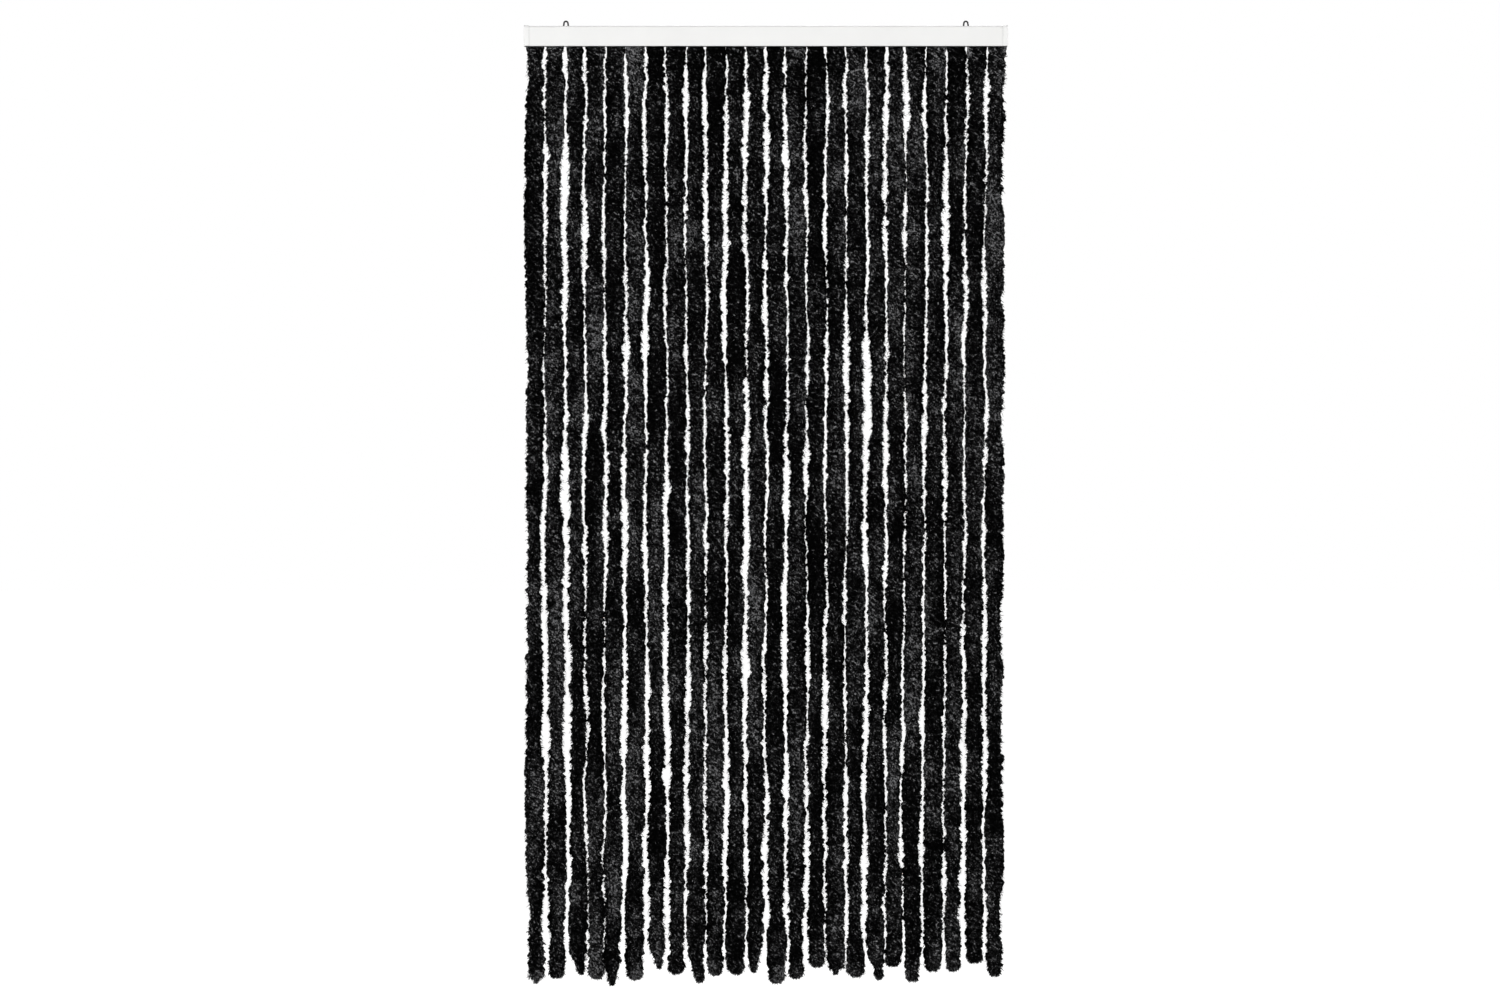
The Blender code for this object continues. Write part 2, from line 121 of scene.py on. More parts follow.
# The strands' routes, from the left: the lower end's form, its shift sideways, and the way sideways
# at ROUTE_SHARES. A strand hangs straight to the second of these, so its way starts at the third.
ROUTE_SHARES = (0.0, 0.04, 0.18, 0.34, 0.50, 0.66, 0.82, 0.97)
ROUTES = (
    ("nub", 0.000, (-0.003, 0.002, -0.002, -0.002, -0.001, 0.002)),
    ("round", -0.002, (-0.002, -0.003, -0.002, 0.002, 0.002, 0.005)),
    ("pointed", 0.004, (0.000, 0.001, 0.001, 0.005, 0.006, 0.008)),
    ("round", 0.001, (-0.001, -0.001, -0.001, 0.000, 0.000, 0.001)),
    ("pointed", 0.000, (-0.001, 0.000, -0.001, -0.005, -0.005, -0.007)),
    ("round", 0.001, (0.000, 0.000, 0.000, 0.000, 0.000, -0.002)),
    ("pointed", 0.004, (0.001, 0.004, -0.001, 0.001, 0.002, 0.003)),
    ("round", 0.000, (0.000, 0.001, 0.003, 0.003, 0.003, 0.002)),
    ("slanted", 0.006, (-0.002, 0.003, 0.002, 0.003, 0.001, 0.002)),
    ("round", 0.001, (-0.001, -0.002, 0.001, 0.000, -0.002, -0.002)),
    ("round", 0.000, (0.000, 0.001, 0.000, -0.002, 0.001, 0.000)),
    ("pointed", -0.002, (-0.001, 0.001, 0.004, 0.000, -0.001, -0.003)),
    ("wide", 0.000, (0.000, 0.003, -0.002, -0.004, 0.000, 0.002)),
    ("round", 0.000, (0.001, 0.002, 0.002, 0.002, 0.000, 0.001)),
    ("round", -0.001, (-0.001, 0.002, 0.000, 0.000, -0.002, 0.002)),
    ("nub", 0.001, (0.001, -0.001, -0.001, -0.001, -0.002, -0.002)),
    ("round", 0.001, (0.000, 0.000, -0.002, -0.002, -0.003, -0.002)),
    ("finger", 0.005, (0.000, 0.004, -0.001, 0.001, -0.002, 0.002)),
    ("round", -0.003, (-0.001, -0.001, 0.000, -0.003, -0.007, -0.006)),
    ("blunt", 0.000, (-0.001, -0.005, -0.004, -0.008, -0.010, -0.009)),
    ("round", -0.001, (-0.003, -0.002, -0.005, -0.004, -0.007, -0.007)),
    ("round", 0.001, (0.000, -0.003, -0.004, -0.006, -0.008, -0.009)),
    ("round", 0.000, (-0.002, -0.003, -0.005, -0.006, -0.005, -0.005)),
    ("blunt", 0.001, (-0.004, -0.003, -0.005, -0.005, -0.005, -0.006)),
)
# A strand's slight way to the front and back, which grows over the first share of its length
SWAY = 0.0012
SWAY_FADE = 0.1

# The noises that make a strand uneven, in the order in which they are drawn: the cells of each
# along the strand and around it. Each strand's draws start from seeds of its own.
NOISES = {
    "sway": (14, 1),
    "wide": (15, 1),
    "lumpy": (52, 3),
    "rough": (210, 8),
    "clumped": (430, 15),
    "combed": (150, 8),
    "shades": (10, 2),
    "patches": (36, 4),
    "flecks": (230, 10),
}
CLOSENESS_CELLS = (16, 1)
STRAND_SEED = 1000
CLOSENESS_SEED = 3000

# How far the pile swells and thins: the share of each wave, and the least and most of their sum
SWELL_WAVES = {"wide": 0.27, "lumpy": 0.21, "rough": 0.17}
SWELL_RANGE = (-0.38, 0.27)

# The pile's tone from 0, jet black, to 1, palest grey: the strands, counted from the left, that
# differ from the mean by a step, and those whose end is paler, each with a factor of its own
MEAN_TONE = 0.30
TONE_STEP = 0.05
TONE_CHANCE = 0.015
PALE_STRANDS = (2, 6, 18, 22, 24)
DARK_STRANDS = (3, 7, 8, 10, 11, 13, 15)
PALE_ENDS = {1: 1.0, 4: 1.0, 6: 0.8, 10: 1.6, 11: 1.0, 13: 1.2, 14: 1.0, 17: 1.0, 20: 1.0}
PALE_END_TONE = (0.22, 0.34)
PALE_END_LENGTH = 0.035
PALE_END_START = 1.3

# A fibre's tone: how much each patch noise and the fibre's own chance add, and a few fibres' painted
# glint
SHADES_TONE = 0.28
PATCHES_TONE = 0.23
FLECKS_TONE = 0.17
FLECKS_TURN = 0.3
FIBRE_TONE_CHANCE = 0.29
PAINTED_GLINT_TONE = 0.52
PAINTED_GLINT_SHARE = 0.09
BUNDLE_TONE_SHARE = 0.8
CLOSED_END_TONE = 0.3

# How neighbours part: the least room between their grounds, kept at stations along them from the
# share PART_FADE on, in rounds that each spread the push over the nearest stations
PART_ROOM = 0.0030
PART_STATIONS = 120
PART_ROUNDS = 8
PART_FADE = 0.03
PART_BLUR = 2

# Where neighbours meet, their piles press flat against a thin gap. Its width wanders about a mean,
# and below 0 the piles run into each other. Its edges are uneven by a grain.
THIN_GAP = -0.0007
THIN_GAP_RANGE = (-0.0060, 0.0034)
THIN_GAP_WAVE = 0.0050
THIN_GAP_FADE = 0.04
THIN_GAP_GRAIN = 0.0034
THIN_GAP_GRAIN_TURN = 0.25
PRESS_DEPTH = 0.0016

# The pile's dense ground: its size as a share of the pile's, how much its clumps and grain move it,
# and its rings, which are closer over the crown and the end
GROUND_SHARE = 0.950
CLUMP_SHARE = 0.25
GRAIN_SHARE = 0.12
GRAIN_LIMIT = 2
GROUND_ROWS = 600
GROUND_SIDES = 28
CROWN_RINGS = 6
CROWN_TOP_SHARE = 0.97
END_RINGS = 10
END_RINGS_LENGTH = 0.012
TIP_DROP = 0.0004

# Where fibres stand on the ground: from the crown to just above the tip, a golden turn after each
# other, with a share of them crowded near the tip
FIBRE_TOP_SHARE = 0.8
GOLDEN_TURN = (math.sqrt(5) - 1) / 2
TURN_CHANCE = 0.012
TIP_ROOM = 0.0002
NEAR_TIP = 0.014
NEAR_TIP_SHARE = 0.06
ROOT_DEPTH = 0.0018
PILE_LIMIT = 0.0222

# How fibres lean off the surface's way out, as a mean and a spread in degrees, how far they head
# off the way down, and how much their patches of combing add to both. In the head they lie flat,
# and there and near the tip they are shorter.
BUNDLE_LEAN = (38, 14)
TUFT_LEAN = (46, 16)
LEAN_RANGE = (8, 80)
COMBED_LEAN = 14
HEADING_SPREAD = 60
COMBED_HEADING = 70
HEAD_SHORTENING = 0.45
TIP_LENGTH_SHARE = 0.65

# Bundles of fibres and single tufts: their number and sizes, and how much a fibre differs by chance
BUNDLES = 1500
BUNDLE_LENGTH = 0.0060
BUNDLE_LENGTH_RANGE = (0.45, 1.5)
BUNDLE_RADIUS = 0.0020
BUNDLE_RADIUS_SHARES = (0.55, 0.45)
BUNDLE_TIP_CHANCE = 0.10
TUFTS = 11000
TUFT_LENGTH = 0.0062
TUFT_SHORTEST = 0.003
TUFT_LONGEST = 0.0115
TUFT_CLUMP_SHARE = 0.22
TUFT_HALF_WIDTH = 0.00062
TUFT_TIP_SHARE = 0.62
TUFT_BEND_SHARE = 0.55
TUFT_DROOP = 0.16
LONG_TUFT_SHARE = 0.07
LONG_TUFT_TIMES = 1.6
LENGTH_CHANCE = 0.30
FACING_CHANCE = 0.7
SIZE_RANGE = (0.75, 1.25)

# Wire hangers: the wire, a leg's way from the loop's middle, the crown's radius, the bends and feet
# under the rail's top, and how far the right loop's right leg stands out
HANGER_WIRE = 0.0035
HANGER_LEG = 0.0049
HANGER_CROWN = 0.0041
HANGER_BEND = 0.0022
HANGER_FOOT = 0.0055
HANGER_SPLAY = 0.0004
BEND_STEPS = 9
CROWN_STEPS = 25
WIRE_SIDES = 20
WIRE_END_ROUND = 0.0004

# The map on a strand: the ground's length in strips side by side, a corner for its closed ends, and
# at the right a palette, where a fibre lies in its tone's column and rises from its root to its
# tip. A bundle's third foot lies higher than the others, so that none of its faces is a mere line.
MAP_NAME = "OFBake"
TONE_NAME = "pile_tone"
MAP_STRIPS = 4
STRIP_WIDTH = 0.2
CLOSED_END_PLACES = ((0.001, 0.999), (0.003, 0.999), (0.002, 0.997))
PALETTE_LEFT = 0.83
PALETTE_WIDTH = 0.15
PALETTE_HALF_STEP = 0.002
PALETTE_LOW = 0.02
PALETTE_THIRD_FOOT = 0.05
PALETTE_HIGH = 0.98

# The Mix node's sockets for colours: its factor, its two colours and its result
MIX_FACTOR, MIX_FIRST, MIX_SECOND, MIX_RESULT = 0, 6, 7, 2

# The ground's tone is spread by a fine noise about its middle
GROUND_TONE_SPREAD = 1.9

# The floor's half width and how far it lies below the curtain, and the lamps, which face the
# curtain's middle: each one's place, size and power
FLOOR_HALF = 60.0
FLOOR_DROP = 0.65
LAMP_TARGET = (0.0, 0.0, -0.95)
LAMPS = {
    "key": ((-2.4, -5.0, -0.1), 2.4, 124),
    "fill": ((2.8, -4.6, -1.0), 2.6, 104),
    "back": ((0.6, 5.0, 1.4), 2.4, 120),
}


# Helpers


def clear_default_scene():
    """Removes what a new Blender file holds."""
    for name in ("Cube", "Camera", "Light"):
        found = bpy.data.objects.get(name)
        if found is not None:
            bpy.data.objects.remove(found, do_unlink=True)


def add_object(name, data):
    """A new object in the scene that holds a mesh, a lamp or a camera."""
    made = bpy.data.objects.new(name, data)
    bpy.context.scene.collection.objects.link(made)
    return made


def smooth_step(t):
    """An even rise from 0 at 0 to 1 at 1, level at both ends and beyond them."""
    t = np.clip(t, 0, 1)
    return t * t * (3 - 2 * t)


def unit(vectors):
    """Vectors brought to a length of 1."""
    return vectors / np.maximum(np.linalg.norm(vectors, axis=-1, keepdims=True), TINY)


def smooth_noise(rng, rows, columns):
    """Noise on a strand: random heights on a lattice that closes around, blended smoothly."""
    lattice = rng.uniform(-1, 1, (rows + 2, columns))

    def noise(along, around):
        a, b = np.clip(along, 0, 1) * rows, (around % 1) * columns
        i, j = a.astype(int), b.astype(int)
        ta, tb = smooth_step(a - i), smooth_step(b - j)
        left, right = j % columns, (j + 1) % columns
        upper = lattice[i, left] * (1 - tb) + lattice[i, right] * tb
        lower = lattice[i + 1, left] * (1 - tb) + lattice[i + 1, right] * tb
        return upper * (1 - ta) + lower * ta

    return noise


def tube_faces(rings, sides):
    """A closed tube's faces: quads between its rings, and a fan about each end's middle point.

    The points come ring by ring, and the two middle points last.
    """
    ring, side = np.divmod(np.arange((rings - 1) * sides), sides)
    after = (side + 1) % sides
    quads = np.stack([ring * sides + side, (ring + 1) * sides + side,
                      (ring + 1) * sides + after, ring * sides + after], axis=1)
    k = np.arange(sides)
    following = (k + 1) % sides
    last = (rings - 1) * sides
    fans = np.concatenate([
        np.stack([np.full(sides, rings * sides), k, following], axis=1),
        np.stack([np.full(sides, rings * sides + 1), last + following, last + k], axis=1),
    ])
    return quads, fans


# Camera


def make_camera():
    """The photo's straight view from the front, as far away as frames the photo's width."""
    data = bpy.data.cameras.new("photo_camera")
    data.lens = LENS_MM
    data.sensor_width = SENSOR_MM
    distance = PHOTO_WIDTH_PIXELS * METRES_PER_PIXEL * LENS_MM / SENSOR_MM
    data.clip_start = distance / CLIP_NEARER
    data.clip_end = distance * CLIP_FARTHER
    camera = add_object("photo_camera", data)
    camera.location = (PHOTO_MIDDLE[0], -distance, PHOTO_MIDDLE[1])
    camera.rotation_euler = (math.radians(90), 0, 0)
    bpy.context.scene.camera = camera


# Strands: their route and shape


def route_curve(offsets, share):
    """The way sideways at shares: a cubic between each two of the route's points.

    Its slope at a point is the mean slope between that point's neighbours.
    """
    stations = np.array(ROUTE_SHARES)
    values = np.array((0.0, 0.0, *offsets))
    slopes = np.empty_like(values)
    slopes[1:-1] = (values[2:] - values[:-2]) / (stations[2:] - stations[:-2])
    slopes[0] = (values[1] - values[0]) / (stations[1] - stations[0])
    slopes[-1] = (values[-1] - values[-2]) / (stations[-1] - stations[-2])
    held = np.clip(share, 0, stations[-1])
    i = np.clip(np.searchsorted(stations, held, side="right") - 1, 0, len(stations) - 2)
    span = stations[i + 1] - stations[i]
    t = (held - stations[i]) / span
    level = (2 * t**3 - 3 * t**2 + 1) * values[i] + (3 * t**2 - 2 * t**3) * values[i + 1]
    return level + span * ((t**3 - 2 * t**2 + t) * slopes[i] + (t**3 - t**2) * slopes[i + 1])


def end_share(form, height):
    """The pile's radius above the tip as a share: straight runs between the form's points."""
    length, points = END_FORMS[form]
    return np.interp(height / length, [p[0] for p in points], [p[1] for p in points])


def pile_sizes(strand, depth):
    """Half width and half depth at a depth: a crown round the bar, a flare, the pile, the end."""
    flare_from = CROWN_RADIUS * math.sin(FLARE_ANGLE)
    flare = CROWN_RADIUS * math.cos(FLARE_ANGLE) + (depth - flare_from) * math.tan(FLARE_ANGLE)
    crown = np.sqrt(np.maximum(CROWN_RADIUS**2 - depth**2, 0))
    half_depth = np.where(depth < flare_from, crown, np.minimum(flare, PILE_RADIUS))
    held = np.maximum(depth, 0)
    spread = [share * np.maximum(1 - held / length, 0)
              for share, length in zip(HEAD_SPREAD, HEAD_SPREAD_LENGTH)]
    half_width = PILE_RADIUS * (1 + sum(spread))
    end = end_share(strand["end"], strand["length"] - depth)
    return half_width * end, half_depth * end


def make_strand_facts(number, joint):
    """What a strand's surfaces share: its pivot, length, route, tone and the noises of its pile."""
    end, end_shift, offsets = ROUTES[number]
    pivot = joint["pos_m"]
    rng = np.random.default_rng(STRAND_SEED + number)
    closeness_rng = np.random.default_rng(CLOSENESS_SEED + number)
    counted = number + 1
    tone_steps = (counted in PALE_STRANDS) - (counted in DARK_STRANDS)
    return {
        "name": joint["child"],
        "x": pivot[0],
        "z": pivot[2],
        "length": pivot[2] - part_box(joint["child"])[0].z,
        "end": end,
        "end_shift": end_shift,
        "offsets": offsets,
        "parted": np.zeros(PART_STATIONS),
        "closeness": smooth_noise(closeness_rng, *CLOSENESS_CELLS),
        "rng": rng,
        **{name: smooth_noise(rng, *cells) for name, cells in NOISES.items()},
        "tone": MEAN_TONE + TONE_STEP * tone_steps + rng.uniform(-TONE_CHANCE, TONE_CHANCE),
        "end_tone": rng.uniform(*PALE_END_TONE) * PALE_ENDS.get(counted, 0),
    }


def centre_of(strand, depth):
    """The strand's middle at a depth: its route sideways, and a slight sway to front and back."""
    share = depth / strand["length"]
    x = strand["x"] + route_curve(strand["offsets"], share)
    x = x + strand["end_shift"] * smooth_step((depth - strand["length"]) / END_SHIFT_LENGTH + 1)
    x = x + np.interp(share, np.linspace(0, 1, PART_STATIONS), strand["parted"])
    y = SWAY * strand["sway"](share, np.zeros_like(share)) * smooth_step(share / SWAY_FADE)
    return x, y


def fullness(strand, depth, around):
    """How full the pile is, about 1: long, middle and short waves, calmer near the tip."""
    share = depth / strand["length"]
    calm = 1 - END_CALM_SHARE * smooth_step((depth - strand["length"]) / END_CALM_LENGTH + 1)
    wave = sum(part * strand[name](share, around) for name, part in SWELL_WAVES.items())
    return 1 + calm * np.clip(wave, *SWELL_RANGE)


def ground_point(strand, depth, around):
    """A place on the pile's ground: an oval about the strand's middle, as full as the waves say."""
    half_width, half_depth = pile_sizes(strand, depth)
    in_head = 1 - smooth_step(depth / HEAD_LENGTH)
    clump = CLUMP_SHARE * strand["clumped"](depth / strand["length"], around)
    swell = fullness(strand, depth, around) + clump - 1
    depth_share = GROUND_SHARE + (HEAD_DEPTH_SHARE - GROUND_SHARE) * in_head
    full = 1 + swell * (1 - HEAD_CALM * in_head) + HEAD_SWELL * in_head
    sideways = half_width * full * GROUND_SHARE
    forwards = half_depth * (1 + swell * (1 - in_head)) * depth_share
    x, y = centre_of(strand, depth)
    angle = 2 * math.pi * around
    return np.stack([
        x + sideways * np.cos(angle), y + forwards * np.sin(angle), strand["z"] - depth,
    ], axis=-1)


def part_neighbours(strands):
    """Moves neighbours apart where their grounds would press into each other.

    Each takes half of the room that they lack, in rounds, with the push smoothed along the strand.
    """
    share = np.linspace(0, 1, PART_STATIONS)
    edges = []
    for strand in strands:
        depth = share * strand["length"]
        x, half_width = centre_of(strand, depth)[0], pile_sizes(strand, depth)[0]
        full_left, full_right = (fullness(strand, depth, np.full(PART_STATIONS, turn))
                                 for turn in (0.5, 0.0))
        edges.append([x - half_width * GROUND_SHARE * full_left,
                      x + half_width * GROUND_SHARE * full_right])
    left, right = np.array(edges).transpose(1, 0, 2)
    parted = np.zeros_like(left)
    for _ in range(PART_ROUNDS):
        lack = np.maximum(PART_ROOM - (left + parted)[1:] + (right + parted)[:-1], 0)
        lack = lack * smooth_step(share / PART_FADE)
        push = np.zeros_like(parted)
        push[1:] += lack / 2
        push[:-1] -= lack / 2
        padded = np.pad(push, ((0, 0), (PART_BLUR, PART_BLUR)), mode="edge")
        windows = [padded[:, i:i + PART_STATIONS] for i in range(2 * PART_BLUR + 1)]
        parted += sum(windows) / len(windows)
    for strand, row in zip(strands, parted):
        strand["parted"] = row
    limit_sideways(strands, left, right, parted)


def limit_sideways(strands, left, right, parted):
    """How far each pile may stand to both sides: to its own limit, or to the gap at a neighbour."""
    share = np.linspace(0, 1, PART_STATIONS)
    for strand in strands:
        x = centre_of(strand, share * strand["length"])[0]
        strand["left_limit"] = x - PILE_LIMIT
        strand["right_limit"] = x + PILE_LIMIT
    for number, (before, after) in enumerate(zip(strands[:-1], strands[1:])):
        middle = (right[number] + parted[number] + left[number + 1] + parted[number + 1]) / 2
        wander = THIN_GAP_WAVE * before["closeness"](share, np.zeros(PART_STATIONS))
        gap = np.clip(THIN_GAP + wander, *THIN_GAP_RANGE)
        half_gap = gap * smooth_step(share / THIN_GAP_FADE) / 2
        before["right_limit"] = middle - half_gap
        after["left_limit"] = middle + half_gap


def held_near(strand, points):
    """Points drawn back to the pile's limit, and pressed flat where they near the gap's edge.

    A point that goes past the press's start gets less and less further, and PRESS_DEPTH at most.
    """
    depth = strand["z"] - points[:, 2]
    x, y = centre_of(strand, depth)
    aside = points - np.stack([x, y, points[:, 2]], axis=1)
    reach = np.linalg.norm(aside, axis=1)
    drawn_back = np.minimum(PILE_LIMIT / np.maximum(reach, TINY), 1) - 1
    points = points + aside * drawn_back[:, None]
    stations = np.linspace(0, strand["length"], PART_STATIONS)
    for side, limit in ((-1, strand["left_limit"]), (1, strand["right_limit"])):
        turn = np.full(len(depth), THIN_GAP_GRAIN_TURN * side)
        grain = THIN_GAP_GRAIN * strand["clumped"](depth / strand["length"], turn)
        over = side * (points[:, 0] - np.interp(depth, stations, limit)) + PRESS_DEPTH + grain
        over = np.maximum(over, 0)
        points[:, 0] -= side * (over - PRESS_DEPTH * (1 - np.exp(-over / PRESS_DEPTH)))
    return points


# Strands: the ground


def ring_depths(strand):
    """Depths of the ground's rings: even along the strand, and closer at the crown and the end."""
    straight = strand["length"] - END_RINGS_LENGTH
    crown_angles = np.linspace(0, math.pi / 2, CROWN_RINGS, endpoint=False)
    end_angles = np.linspace(0, math.pi / 2, END_RINGS, endpoint=False)
    return np.concatenate([
        -CROWN_RADIUS * CROWN_TOP_SHARE * np.cos(crown_angles),
        np.linspace(0, straight, GROUND_ROWS - CROWN_RINGS - END_RINGS + 1, endpoint=False),
        strand["length"] - END_RINGS_LENGTH * (1 - np.sin(end_angles)),
    ])


def ground_mesh(strand):
    """The ground as a closed tube: points, tones, quads, end fans and their corners' map."""
    depths = ring_depths(strand)
    rings, sides = len(depths), GROUND_SIDES
    depth = np.repeat(depths, sides)
    around = np.tile(np.arange(sides) / sides, rings)
    points = ground_point(strand, depth, around)
    x, y = centre_of(strand, depth)
    chance = strand["rng"].normal(size=len(depth)).clip(-GRAIN_LIMIT, GRAIN_LIMIT)
    grain = GRAIN_SHARE * chance * smooth_step(depth / HEAD_LENGTH)
    points[:, 0] += (points[:, 0] - x) * grain
    points[:, 1] += (points[:, 1] - y) * grain
    points = held_near(strand, points)
    top = points[:sides].mean(axis=0)
    tip = points[-sides:].mean(axis=0) - (0, 0, TIP_DROP)
    points = np.concatenate([points, [top, tip]])
    tones = np.append(fibre_tones(strand, depth, around), (CLOSED_END_TONE, CLOSED_END_TONE))
    quads, fans = tube_faces(rings, sides)
    return points, tones, quads, fans, ground_map(rings, sides)


def ground_map(rings, sides):
    """The map's places of the ground's corners: its rows run down strips that lie side by side."""
    ring, side = np.divmod(np.arange((rings - 1) * sides), sides)
    strip_rings = (rings - 1) / MAP_STRIPS
    strip = np.floor(ring / strip_rings + TINY)
    left = (strip + side / sides) * STRIP_WIDTH
    right = (strip + (side + 1) / sides) * STRIP_WIDTH
    high = 1 - (ring / strip_rings - strip)
    low = 1 - ((ring + 1) / strip_rings - strip)
    quad_map = np.stack([left, high, left, low, right, low, right, high], axis=1).reshape(-1, 2)
    return np.concatenate([quad_map, np.tile(CLOSED_END_PLACES, (2 * sides, 1))])


# Strands: the fibres


def fibre_tones(strand, depth, around):
    """A fibre's tone from 0 to 1: its own chance added to long, middle and short patches, and on a
    few fibres a painted glint.
    """
    rng = strand["rng"]
    share = depth / strand["length"]
    tone = (strand["tone"] + SHADES_TONE * strand["shades"](share, around)
            + PATCHES_TONE * strand["patches"](share, around)
            + FLECKS_TONE * strand["flecks"](share, around + FLECKS_TURN)
            + rng.normal(0, FIBRE_TONE_CHANCE, len(share)))
    # A few fibres are paler: a painted glint of fibre ends that catch the light
    tone = tone + PAINTED_GLINT_TONE * (rng.random(len(share)) < PAINTED_GLINT_SHARE)
    near_end = smooth_step((depth - strand["length"]) / PALE_END_LENGTH + PALE_END_START)
    return np.clip(tone + strand["end_tone"] * near_end, 0, 1)


def stand_points(strand, count):
    """Where fibres stand: spread by the golden angle down the strand, with more near its tip."""
    rng = strand["rng"]
    length = strand["length"]
    at_tip = round(count * NEAR_TIP_SHARE)
    main = count - at_tip
    top = CROWN_RADIUS * FIBRE_TOP_SHARE
    depth = (np.arange(main) + rng.random(main)) / main * (length + top) - top
    around = np.arange(main) * GOLDEN_TURN + rng.normal(0, TURN_CHANCE, main)
    tip_depth = length - NEAR_TIP * rng.random(at_tip) ** 2
    depth = np.minimum(np.concatenate([depth, tip_depth]), length - TIP_ROOM)
    return depth, np.concatenate([around, rng.random(at_tip)])


def axes_at(strand, depth, around):
    """Three directions at each place of the pile: out of its surface, down along it, across it."""
    step, thinnest, tilt = 0.0005, 0.001, 1e-4
    steepest_end, steepest_head = -6, 1
    angle = 2 * math.pi * around
    half_width, half_depth = pile_sizes(strand, depth)
    deeper_width, deeper_depth = pile_sizes(strand, depth + step)
    slope = ((deeper_width - half_width) * np.cos(angle) ** 2
             + (deeper_depth - half_depth) * np.sin(angle) ** 2) / step
    outward = unit(np.stack([
        np.cos(angle) / np.maximum(half_width, thinnest),
        np.sin(angle) / np.maximum(half_depth, thinnest),
        np.zeros_like(angle),
    ], axis=-1))
    outward[:, 2] = np.clip(slope, steepest_end, steepest_head)
    outward = unit(outward)
    down = np.stack([tilt * np.cos(angle), tilt * np.sin(angle), -np.ones_like(angle)], axis=-1)
    along = unit(down - (outward * down).sum(axis=1)[:, None] * outward)
    return outward, along, np.cross(outward, along)


def fibre_ways(strand, depth, around, mean_lean, lean_spread):
    """Each fibre's root, way and length factor, and the surface's way out where it stands.

    Fibres are combed in patches, and laid flat over the head.
    """
    rng = strand["rng"]
    count = len(depth)
    share = depth / strand["length"]
    outward, along, across = axes_at(strand, depth, around)
    in_head = 1 - smooth_step(depth / HEAD_LENGTH)
    lean = rng.normal(mean_lean, lean_spread, count) + COMBED_LEAN * strand["combed"](share, around)
    lean = np.radians(np.clip(lean, *LEAN_RANGE) * (1 - in_head) + LEAN_RANGE[1] * in_head)
    combing = COMBED_HEADING * strand["combed"](1 - share, around + 0.5)
    heading = np.radians(rng.normal(0, HEADING_SPREAD, count) + combing)
    flat = along * np.cos(heading)[:, None] + across * np.sin(heading)[:, None]
    way = unit(outward * np.cos(lean)[:, None] + flat * np.sin(lean)[:, None])
    root = ground_point(strand, depth, around) - outward * ROOT_DEPTH
    from_tip = np.clip((strand["length"] - depth) / NEAR_TIP, 0, 1)
    near_tip = TIP_LENGTH_SHARE + (1 - TIP_LENGTH_SHARE) * from_tip
    return root, way, outward, (1 - HEAD_SHORTENING * in_head) * near_tip


def facing_axis(rng, way, outward):
    """A direction across each fibre, which lies near the pile's surface and is turned by chance."""
    return unit(np.cross(way, outward + FACING_CHANCE * rng.normal(size=way.shape)))


def chance_sizes(rng, count):
    """Random factors in the fibres' size range."""
    least, most = SIZE_RANGE
    return least + (most - least) * rng.random(count)


def palette_map(tone, columns, heights):
    """Places on the map for a fibre's points, about its tone's column of the palette."""
    place = (PALETTE_LEFT + PALETTE_WIDTH * tone)[:, None] + PALETTE_HALF_STEP * np.array(columns)
    return np.stack([place, np.broadcast_to(heights, place.shape)], axis=-1)


def fibre_faces(count, points_each, order):
    """The faces of many alike fibres, from the order of one fibre's points."""
    return (np.arange(count)[:, None, None] * points_each + order).reshape(-1, 3)


def bundle_mesh(strand):
    """Thick bundles of fibres: three-sided spikes with their open base sunk in the ground."""
    rng = strand["rng"]
    depth, around = stand_points(strand, BUNDLES)
    root, way, outward, factor = fibre_ways(strand, depth, around, *BUNDLE_LEAN)
    stretch = np.clip(1 + LENGTH_CHANCE * rng.normal(size=BUNDLES), *BUNDLE_LENGTH_RANGE)
    length = BUNDLE_LENGTH * stretch * factor
    first = facing_axis(rng, way, outward)
    second = np.cross(way, first)
    least, more = BUNDLE_RADIUS_SHARES
    radius = (BUNDLE_RADIUS * chance_sizes(rng, BUNDLES) * (least + more * factor))[:, None]
    tip = root + (way + BUNDLE_TIP_CHANCE * rng.normal(size=(BUNDLES, 3))) * length[:, None]
    corners = [root + radius * (math.cos(a) * first + math.sin(a) * second)
               for a in (0, 2 * math.pi / 3, 4 * math.pi / 3)]
    points = np.stack([*corners, tip], axis=1)
    order = np.array([(0, 1, 3), (1, 2, 3), (2, 0, 3)])
    heights = (PALETTE_LOW, PALETTE_LOW, PALETTE_THIRD_FOOT, PALETTE_HIGH)
    tone = BUNDLE_TONE_SHARE * fibre_tones(strand, depth, around)
    places = palette_map(tone, (-1, 1, 0, 0), heights)
    points = held_near(strand, points.reshape(-1, 3))
    return points, fibre_faces(BUNDLES, 4, order), places[:, order].reshape(-1, 2)


